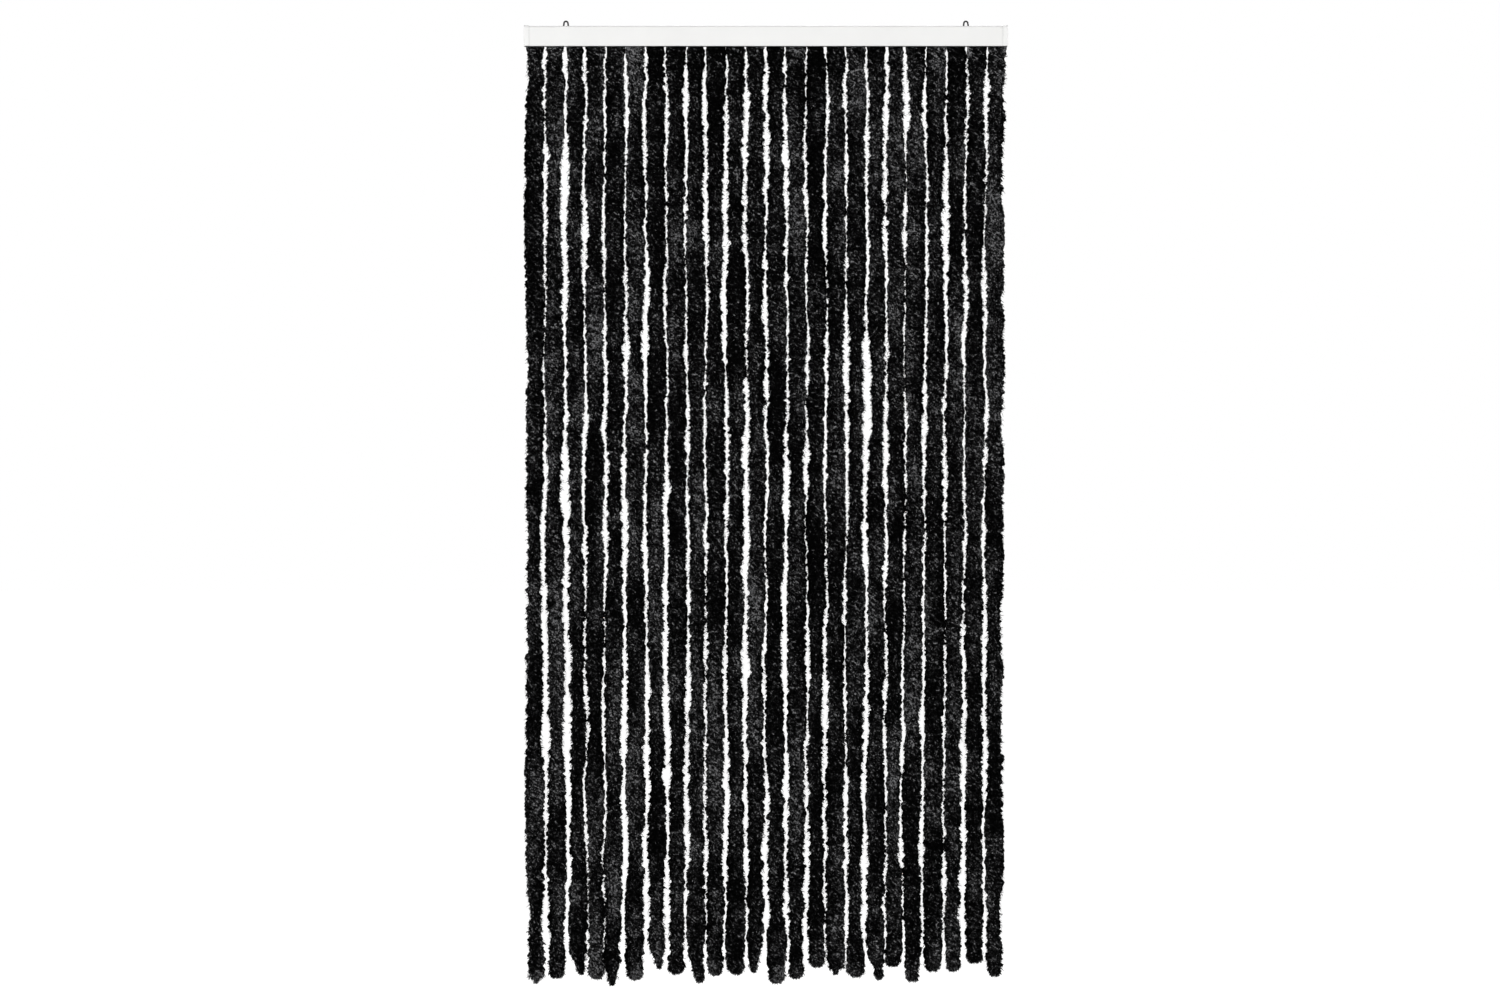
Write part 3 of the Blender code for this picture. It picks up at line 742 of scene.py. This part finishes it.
def tuft_mesh(strand):
    """Single tufts: flat blades of three faces that widen out of the ground, bend and end blunt."""
    rng = strand["rng"]
    depth, around = stand_points(strand, TUFTS)
    share = depth / strand["length"]
    root, way, outward, factor = fibre_ways(strand, depth, around, *TUFT_LEAN)
    stretch = (1 + LENGTH_CHANCE * rng.normal(size=TUFTS)
               + TUFT_CLUMP_SHARE * strand["clumped"](share, around))
    stretch = np.where(rng.random(TUFTS) < LONG_TUFT_SHARE, stretch * LONG_TUFT_TIMES, stretch)
    length = np.clip(TUFT_LENGTH * stretch, TUFT_SHORTEST, TUFT_LONGEST) * factor
    droop = np.array((0, 0, -TUFT_DROOP)) + unit(rng.normal(size=(TUFTS, 3))) * TUFT_DROOP
    middle = root + way * (length * TUFT_BEND_SHARE)[:, None]
    tip = root + (way + droop) * length[:, None]
    spread = facing_axis(rng, way, outward)
    half = TUFT_HALF_WIDTH * chance_sizes(rng, TUFTS)[:, None]
    points = np.stack([
        root, middle - spread * half, middle + spread * half,
        tip - spread * half * TUFT_TIP_SHARE, tip + spread * half * TUFT_TIP_SHARE,
    ], axis=1)
    normal = np.cross(points[:, 2] - points[:, 0], points[:, 1] - points[:, 0])
    turned = (normal * outward).sum(axis=1) < 0
    points[turned] = points[turned][:, [0, 2, 1, 4, 3]]
    order = np.array([(0, 2, 1), (1, 2, 3), (2, 4, 3)])
    heights = (PALETTE_LOW, TUFT_BEND_SHARE, TUFT_BEND_SHARE, PALETTE_HIGH, PALETTE_HIGH)
    places = palette_map(fibre_tones(strand, depth, around), (0, -1, 1, -1, 1), heights)
    points = held_near(strand, points.reshape(-1, 3))
    return points, fibre_faces(TUFTS, 5, order), places[:, order].reshape(-1, 2)


# Strands: the pieces


def new_mesh(name, points, face_groups, corner_map):
    """A mesh of points, groups of faces as index rows, and the map's place of each face corner."""
    mesh = bpy.data.meshes.new(name)
    loops = np.concatenate([g.ravel() for g in face_groups]).astype(np.int32)
    sizes = np.concatenate([np.full(len(g), g.shape[1]) for g in face_groups]).astype(np.int32)
    starts = np.concatenate([[0], np.cumsum(sizes)[:-1]]).astype(np.int32)
    mesh.vertices.add(len(points))
    mesh.vertices.foreach_set("co", np.asarray(points, np.float32).ravel())
    mesh.loops.add(len(loops))
    mesh.loops.foreach_set("vertex_index", loops)
    mesh.polygons.add(len(sizes))
    mesh.polygons.foreach_set("loop_start", starts)
    layer = mesh.uv_layers.new(name=MAP_NAME)
    layer.data.foreach_set("uv", np.asarray(corner_map, np.float32).ravel())
    mesh.update(calc_edges=True)
    mesh.shade_smooth()
    return mesh


def make_strand(strand, joint, ground, pile):
    """One strand: the ground and its fibres in one piece, attached to its body."""
    points, tones, quads, fans, ground_places = ground_mesh(strand)
    bundle_points, bundle_faces, bundle_places = bundle_mesh(strand)
    tuft_points, tuft_faces, tuft_places = tuft_mesh(strand)
    mesh = new_mesh(
        strand["name"] + "_pile",
        np.concatenate([points, bundle_points, tuft_points]),
        [quads, fans, bundle_faces + len(points), tuft_faces + len(points) + len(bundle_points)],
        np.concatenate([ground_places, bundle_places, tuft_places]),
    )
    tone = np.zeros(len(mesh.vertices), np.float32)
    tone[:len(tones)] = tones
    mesh.attributes.new(TONE_NAME, "FLOAT", "POINT").data.foreach_set("value", tone)
    mesh.materials.append(ground)
    mesh.materials.append(pile)
    slots = np.zeros(len(mesh.polygons), np.int32)
    slots[len(quads) + len(fans):] = 1
    mesh.polygons.foreach_set("material_index", slots)
    piece = add_object(strand["name"] + "_pile", mesh)

    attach(piece, joint["child"])
    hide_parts(joint["child"])
    path_depth = np.linspace(0, strand["length"], PART_STATIONS)
    x, y = centre_of(strand, path_depth)


# Hangers


def arc(centre, radius, start, end, steps):
    """Points (x, z) on an arc about a centre."""
    angle = np.linspace(start, end, steps)
    x, z = centre
    return np.stack([x + radius * np.cos(angle), z + radius * np.sin(angle)], axis=1)


def wire_mesh(name, path):
    """A round wire along a path of (x, z), with ends rounded by a smaller ring and closed by a fan.

    Its rings run round the other way than a strand's, so its faces are turned over.
    """
    ways = unit(np.gradient(path, axis=0))
    ends = np.concatenate([
        [path[0] - ways[0] * WIRE_END_ROUND], path, [path[-1] + ways[-1] * WIRE_END_ROUND],
    ])
    ways = np.concatenate([ways[:1], ways, ways[-1:]])
    radius = np.full(len(ends), HANGER_WIRE / 2)
    radius[[0, -1]] -= WIRE_END_ROUND
    angle = np.arange(WIRE_SIDES) * 2 * math.pi / WIRE_SIDES
    aside = np.stack([ways[:, 1], np.zeros(len(ways)), -ways[:, 0]], axis=1)
    back = np.array((0.0, 1.0, 0.0))
    around = np.cos(angle)[None, :, None] * aside[:, None, :] + np.sin(angle)[None, :, None] * back
    middles = np.stack([ends[:, 0], np.zeros(len(ends)), ends[:, 1]], axis=1)
    points = middles[:, None, :] + radius[:, None, None] * around
    points = np.concatenate([points.reshape(-1, 3), middles[[0, -1]]])
    quads, fans = tube_faces(len(ends), WIRE_SIDES)
    faces = quads[:, [0, 3, 2, 1]].tolist() + fans[:, [0, 2, 1]].tolist()
    mesh = bpy.data.meshes.new(name)
    mesh.from_pydata(points.tolist(), [], faces)
    mesh.shade_smooth()
    return mesh


def make_hanger(side, splay, material):
    """A loop of dark wire: two legs through the rail's top, turned outwards under it, and a crown.

    The right leg stands out by the splay.
    """
    node = "hanger_" + side
    low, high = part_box(node)
    foot = low.z + HANGER_WIRE / 2
    bend = HANGER_LEG + HANGER_BEND
    half = np.concatenate([
        [[bend + HANGER_FOOT, foot]],
        arc((bend, foot + HANGER_BEND), HANGER_BEND, -math.pi / 2, -math.pi, BEND_STEPS),
        [[HANGER_LEG, RAIL_TOP_Z]],
    ])
    crown_z = high.z - HANGER_WIRE / 2 - HANGER_CROWN
    crown = arc((0, crown_z), HANGER_CROWN, 0, math.pi, CROWN_STEPS)
    path = np.concatenate([half + (splay, 0), crown, half[::-1] * (-1, 1)])
    path[:, 0] += (low.x + high.x) / 2
    piece = add_object(node + "_wire", wire_mesh(node + "_wire", path))
    piece.data.materials.append(material)
    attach(piece, "rail_frame")
    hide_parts(node)


# Materials


def new_material(name, roughness, specular):
    """A material with its shader's constants, and the node tree and shader to build on."""
    made = bpy.data.materials.new(name)
    made.use_nodes = True
    shader = made.node_tree.nodes["Principled BSDF"]
    shader.inputs["Roughness"].default_value = roughness
    shader.inputs["Specular IOR Level"].default_value = specular
    return made, made.node_tree, shader


def add_node(tree, kind, **values):
    """A new shader node, with each value set on its socket of that name or else as its setting."""
    node = tree.nodes.new(kind)
    for name, value in values.items():
        if name in node.inputs:
            node.inputs[name].default_value = value
        else:
            setattr(node, name, value)
    return node


def ramp(tree, source, stops):
    """A colour ramp through stops of (place, colour) fed by a socket."""
    node = tree.nodes.new("ShaderNodeValToRGB")
    elements = node.color_ramp.elements
    while len(elements) < len(stops):
        elements.new(1.0)
    for element, (place, colour) in zip(elements, stops):
        element.position = place
        element.color = (*colour, 1.0)
    tree.links.new(source, node.inputs["Fac"])
    return node


def multiplied(tree, colour):
    """A Mix node that multiplies a colour by its second one, in full unless its factor is fed."""
    mix = add_node(tree, "ShaderNodeMix", data_type="RGBA", blend_type="MULTIPLY")
    mix.inputs[MIX_FACTOR].default_value = 1.0
    tree.links.new(colour, mix.inputs[MIX_FIRST])
    return mix


def noise_on_object(tree, scale, detail=3.0, stretch=(1, 1, 1)):
    """Noise on the object's own coordinates, with its scale in waves a metre and a stretch."""
    place = tree.nodes.new("ShaderNodeTexCoord")
    mapping = add_node(tree, "ShaderNodeMapping", Scale=stretch)
    noise = add_node(tree, "ShaderNodeTexNoise", Scale=scale, Detail=detail)
    tree.links.new(place.outputs["Object"], mapping.inputs["Vector"])
    tree.links.new(mapping.outputs["Vector"], noise.inputs["Vector"])
    return noise


def bump(tree, shader, height, strength, distance):
    """Roughens a shader's surface by a height's ups and downs."""
    node = add_node(tree, "ShaderNodeBump", Strength=strength, Distance=distance)
    tree.links.new(height, node.inputs["Height"])
    tree.links.new(node.outputs["Normal"], shader.inputs["Normal"])


def grey(value):
    """A grey that is very slightly blue."""
    return (value, value, value * 1.03)


def pile_colours(tree, source):
    """The pile's greys from a tone of 0, jet black, to 1: each step about triples the last."""
    return ramp(tree, source, [
        (0.00, grey(0.0012)), (0.20, grey(0.0030)), (0.40, grey(0.0085)), (0.60, grey(0.025)),
        (0.80, grey(0.080)), (1.00, grey(0.27)),
    ])


def chenille_ground():
    """The dense pile between the tufts: the mesh's own tones, spread by fine fibres, with painted
    shade in the gaps between them.
    """
    made, tree, shader = new_material("chenille_ground", roughness=0.95, specular=0.0)
    tone = add_node(tree, "ShaderNodeAttribute", attribute_name=TONE_NAME)
    tufty = noise_on_object(tree, scale=300, detail=2.0)
    raised = add_node(tree, "ShaderNodeMath", operation="MULTIPLY_ADD")
    raised.inputs[1].default_value = GROUND_TONE_SPREAD
    tree.links.new(tufty.outputs["Fac"], raised.inputs[0])
    tree.links.new(tone.outputs["Fac"], raised.inputs[2])
    lowered = add_node(tree, "ShaderNodeMath", operation="SUBTRACT")
    lowered.inputs[1].default_value = GROUND_TONE_SPREAD / 2
    tree.links.new(raised.outputs[0], lowered.inputs[0])
    colour = pile_colours(tree, lowered.outputs[0])
    # Painted shade in the gaps between fine fibres: darker where their noise is low, the same noise
    # that bumps the surface
    fibres = noise_on_object(tree, scale=620, stretch=(1, 1, 0.5))
    painted_gap_shade = ramp(tree, fibres.outputs["Fac"], [(0.38, (0.25,) * 3), (0.60, (1.0,) * 3)])
    with_painted_shade = multiplied(tree, colour.outputs["Color"])
    tree.links.new(painted_gap_shade.outputs["Color"], with_painted_shade.inputs[MIX_SECOND])
    tree.links.new(with_painted_shade.outputs[MIX_RESULT], shader.inputs["Base Color"])
    bump(tree, shader, fibres.outputs["Fac"], strength=0.7, distance=0.001)
    return made


def chenille_pile():
    """Fibres that take their tone from the palette's columns, with painted shade that makes them
    darker at the root than the tip.
    """
    made, tree, shader = new_material("chenille_pile", roughness=0.75, specular=0.03)
    place = add_node(tree, "ShaderNodeUVMap", uv_map=MAP_NAME)
    parts = tree.nodes.new("ShaderNodeSeparateXYZ")
    tree.links.new(place.outputs["UV"], parts.inputs["Vector"])
    tone = tree.nodes.new("ShaderNodeMapRange")
    tone.inputs["From Min"].default_value = PALETTE_LEFT
    tone.inputs["From Max"].default_value = PALETTE_LEFT + PALETTE_WIDTH
    tree.links.new(parts.outputs["X"], tone.inputs["Value"])
    colour = pile_colours(tree, tone.outputs["Result"])
    # Painted shade deep in the pile: the colour darkens from each fibre's tip down to its root
    height = ramp(tree, parts.outputs["Y"], [
        (0.0, (0.2,) * 3), (0.5, (0.45,) * 3), (1.0, (1.0,) * 3),
    ])
    with_painted_shade = multiplied(tree, colour.outputs["Color"])
    tree.links.new(height.outputs["Color"], with_painted_shade.inputs[MIX_SECOND])
    tree.links.new(with_painted_shade.outputs[MIX_RESULT], shader.inputs["Base Color"])
    return made


def pale_plastic(name, colour, roughness, grain, depth, stretch=(1, 1, 1)):
    """Pale plastic with a slight mottle and a faint grain, which a stretch can draw out."""
    made, tree, shader = new_material(name, roughness, specular=0.45)
    mottle = noise_on_object(tree, scale=9)
    darker = tuple(c * 0.975 for c in colour)
    tinted = ramp(tree, mottle.outputs["Fac"], [(0.35, darker), (0.65, colour)])
    tree.links.new(tinted.outputs["Color"], shader.inputs["Base Color"])
    lines = noise_on_object(tree, scale=grain, stretch=stretch)
    bump(tree, shader, lines.outputs["Fac"], strength=0.25, distance=depth)
    return made


def paint_joint_shadows(made):
    """A painted shadow of the rail's end caps: a plastic softly darker over the last few millimetres
    before them.
    """
    tree = made.node_tree
    shader = tree.nodes["Principled BSDF"]
    tinted = shader.inputs["Base Color"].links[0].from_socket
    place = tree.nodes.new("ShaderNodeTexCoord")
    parts = tree.nodes.new("ShaderNodeSeparateXYZ")
    aside = add_node(tree, "ShaderNodeMath", operation="ABSOLUTE")
    near = tree.nodes.new("ShaderNodeMapRange")
    near.inputs["From Min"].default_value = JOINT_SIDE - JOINT_SHADOW_LENGTH
    near.inputs["From Max"].default_value = JOINT_SIDE
    # Painted shadow of the caps: the colour is multiplied by a grey that fades in towards each joint
    with_painted_shade = multiplied(tree, tinted)
    with_painted_shade.inputs[MIX_SECOND].default_value = (JOINT_SHADOW_GREY, JOINT_SHADOW_GREY, JOINT_SHADOW_GREY, 1)
    tree.links.new(place.outputs["Object"], parts.inputs["Vector"])
    tree.links.new(parts.outputs["X"], aside.inputs[0])
    tree.links.new(aside.outputs[0], near.inputs["Value"])
    tree.links.new(near.outputs["Result"], with_painted_shade.inputs[MIX_FACTOR])
    tree.links.new(with_painted_shade.outputs[MIX_RESULT], shader.inputs["Base Color"])


def blackened_wire():
    """Blackened steel wire, a little uneven in tone and with fine marks along it."""
    made, tree, shader = new_material("blackened_wire", roughness=0.42, specular=0.3)
    stain = noise_on_object(tree, scale=420, detail=4.0)
    tinted = ramp(tree, stain.outputs["Fac"], [
        (0.35, (0.008, 0.008, 0.009)), (0.7, (0.020, 0.020, 0.021)),
    ])
    tree.links.new(tinted.outputs["Color"], shader.inputs["Base Color"])
    marks = noise_on_object(tree, scale=1500, detail=2.0)
    bump(tree, shader, marks.outputs["Fac"], strength=0.2, distance=0.0001)
    return made


def dress(node, material):
    """Gives a CAD node's object one material in all its slots."""
    piece = frame["nodes"][node]
    piece.data.materials.clear()
    piece.data.materials.append(material)


# Surroundings


def make_floor():
    """A pale floor well below the curtain: white where it is lit, and darker in its shadow."""
    half, level = FLOOR_HALF, cad_low.z - FLOOR_DROP
    mesh = bpy.data.meshes.new("floor")
    sides = ((-half, -half), (half, -half), (half, half), (-half, half))
    mesh.from_pydata([(x, y, level) for x, y in sides], [], [(0, 1, 2, 3)])
    made = bpy.data.materials.new("pale_floor")
    made.use_nodes = True
    tree = made.node_tree
    tree.nodes.clear()
    output = tree.nodes.new("ShaderNodeOutputMaterial")
    seen = tree.nodes.new("ShaderNodeAddShader")
    diffuse = add_node(tree, "ShaderNodeBsdfDiffuse", Color=(0.55, 0.55, 0.55, 1))
    glow = add_node(tree, "ShaderNodeEmission", Color=(1, 1, 1, 1), Strength=0.86)
    plain = add_node(tree, "ShaderNodeBsdfDiffuse", Color=(0.8, 0.8, 0.8, 1))
    path = tree.nodes.new("ShaderNodeLightPath")
    mix = tree.nodes.new("ShaderNodeMixShader")
    tree.links.new(diffuse.outputs[0], seen.inputs[0])
    tree.links.new(glow.outputs[0], seen.inputs[1])
    tree.links.new(path.outputs["Is Camera Ray"], mix.inputs[0])
    tree.links.new(plain.outputs[0], mix.inputs[1])
    tree.links.new(seen.outputs[0], mix.inputs[2])
    tree.links.new(mix.outputs[0], output.inputs["Surface"])
    mesh.materials.append(made)
    floor = add_object("floor", mesh)


def make_world():
    """White for the camera, in gloss and through glass, and a softer light all round otherwise."""
    world = bpy.data.worlds.new("studio")
    world.use_nodes = True
    tree = world.node_tree
    tree.nodes.clear()
    output = tree.nodes.new("ShaderNodeOutputWorld")
    white = add_node(tree, "ShaderNodeBackground", Color=(1, 1, 1, 1), Strength=1.0)
    soft = add_node(tree, "ShaderNodeBackground", Color=(1, 1, 1, 1), Strength=0.3)
    path = tree.nodes.new("ShaderNodeLightPath")
    seen = add_node(tree, "ShaderNodeMath", operation="MAXIMUM")
    either = add_node(tree, "ShaderNodeMath", operation="MAXIMUM")
    mix = tree.nodes.new("ShaderNodeMixShader")
    tree.links.new(path.outputs["Is Camera Ray"], seen.inputs[0])
    tree.links.new(path.outputs["Is Glossy Ray"], seen.inputs[1])
    tree.links.new(seen.outputs[0], either.inputs[0])
    tree.links.new(path.outputs["Is Transmission Ray"], either.inputs[1])
    tree.links.new(either.outputs[0], mix.inputs[0])
    tree.links.new(soft.outputs[0], mix.inputs[1])
    tree.links.new(white.outputs[0], mix.inputs[2])
    tree.links.new(mix.outputs[0], output.inputs["Surface"])
    bpy.context.scene.world = world


def make_lamp(name, place, size, power):
    """A square area lamp that faces the curtain's middle."""
    data = bpy.data.lights.new(name, "AREA")
    data.shape = "SQUARE"
    data.size = size
    data.energy = power
    lamp = add_object(name, data)
    lamp.location = place
    towards = Vector(np.subtract(LAMP_TARGET, place))
    lamp.rotation_euler = towards.to_track_quat("-Z", "Y").to_euler()


def main():
    """Dresses every piece, and sets the camera, the floor and the light."""
    clear_default_scene()
    make_camera()
    ground, pile = chenille_ground(), chenille_pile()
    swings = [j for j in frame["joints"] if j["name"].endswith("_swing")]
    strands = [make_strand_facts(number, joint) for number, joint in enumerate(swings)]
    part_neighbours(strands)
    for strand, joint in zip(strands, swings):
        make_strand(strand, joint, ground, pile)

    extruded = pale_plastic("extruded_plastic", colour=(0.885, 0.885, 0.872), roughness=0.40,
                            grain=900, depth=0.0002, stretch=(0.02, 1, 1))
    paint_joint_shadows(extruded)
    moulded = pale_plastic("moulded_plastic", colour=(0.895, 0.895, 0.885), roughness=0.36,
                           grain=1400, depth=0.0001)
    strip = pale_plastic("strip_plastic", colour=(0.80, 0.80, 0.78), roughness=0.48,
                         grain=1400, depth=0.0001)
    dress("rail", extruded)
    dress("end_cap_left", moulded)
    dress("end_cap_right", moulded)
    dress("hook_strip", strip)
    wire = blackened_wire()
    make_hanger("left", 0.0, wire)
    make_hanger("right", HANGER_SPLAY, wire)

    make_floor()
    make_world()
    for name, (place, size, power) in LAMPS.items():
        make_lamp(name, place, size, power)
    bpy.context.scene.view_settings.view_transform = "Standard"


main()
